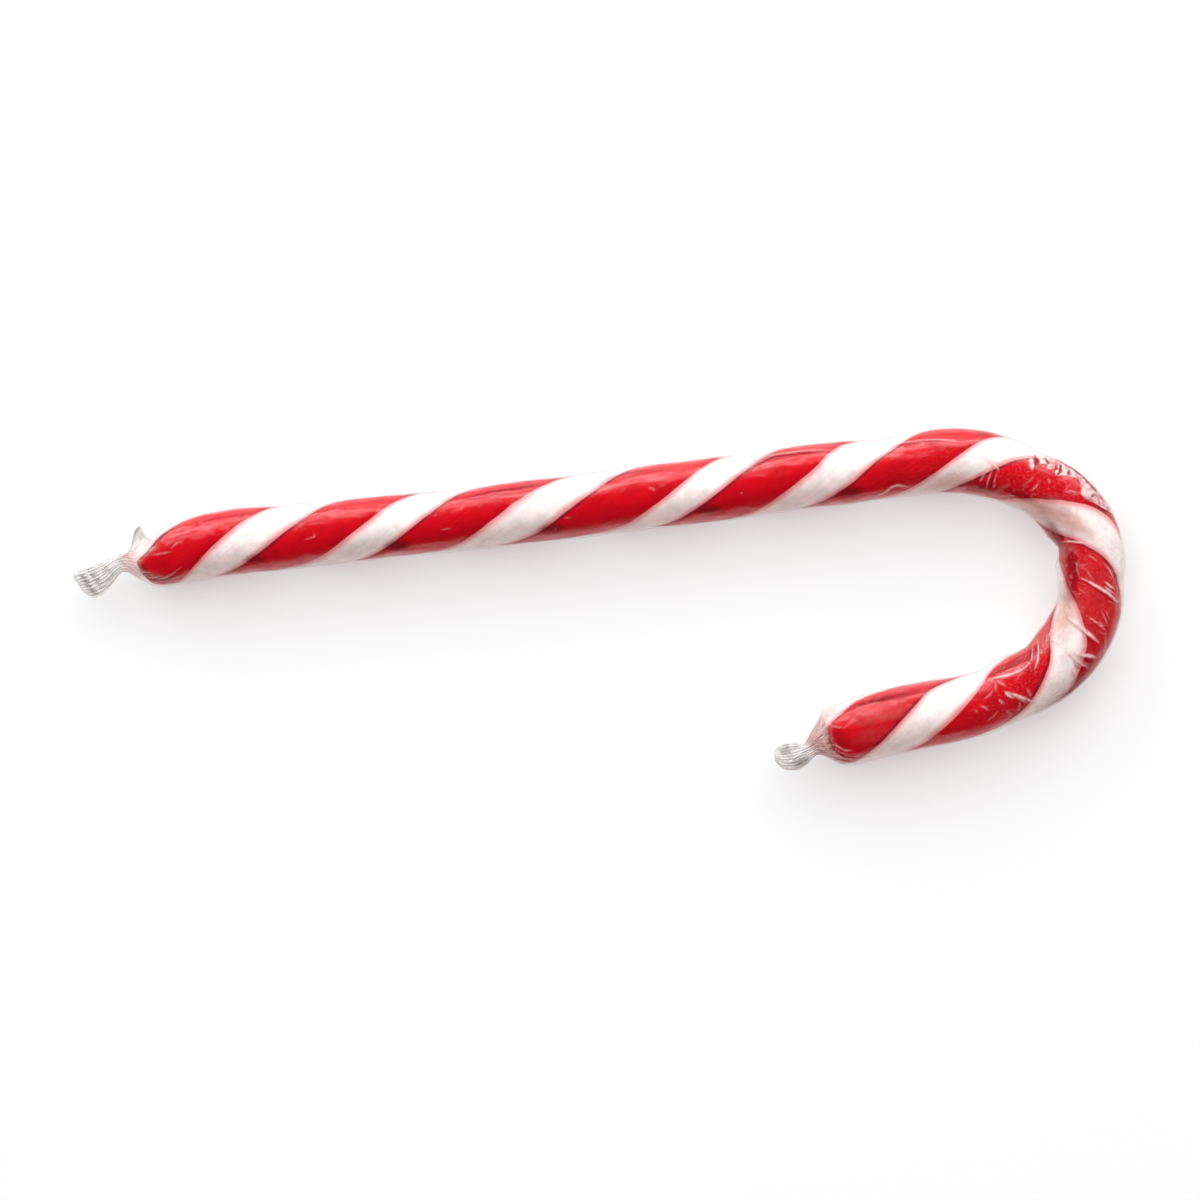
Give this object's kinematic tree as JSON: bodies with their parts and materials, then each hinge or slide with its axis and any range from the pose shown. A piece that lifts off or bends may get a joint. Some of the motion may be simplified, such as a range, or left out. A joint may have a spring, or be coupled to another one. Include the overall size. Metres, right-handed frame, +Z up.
{
  "type": "candy cane",
  "caption": "Hooked stick of boiled sugar, twisted from red and white strands and wrapped in clear film that is gathered at both ends.",
  "frame": {"origin": "middle of the bounding box at the surface the cane lies on", "axes": "+X along the straight shaft towards the bend, +Y across it to the side away from the hook's end, +Z up from the surface"},
  "size_m": [0.1484, 0.0462, 0.0095],
  "materials": {
    "boiled_sugar": "glossy",
    "clear_film": "glossy"
  },
  "bodies": {
    "root": {"candy_cane": "boiled_sugar", "film_end_shaft": "clear_film", "film_end_hook": "clear_film"}
  },
  "joints": []
}
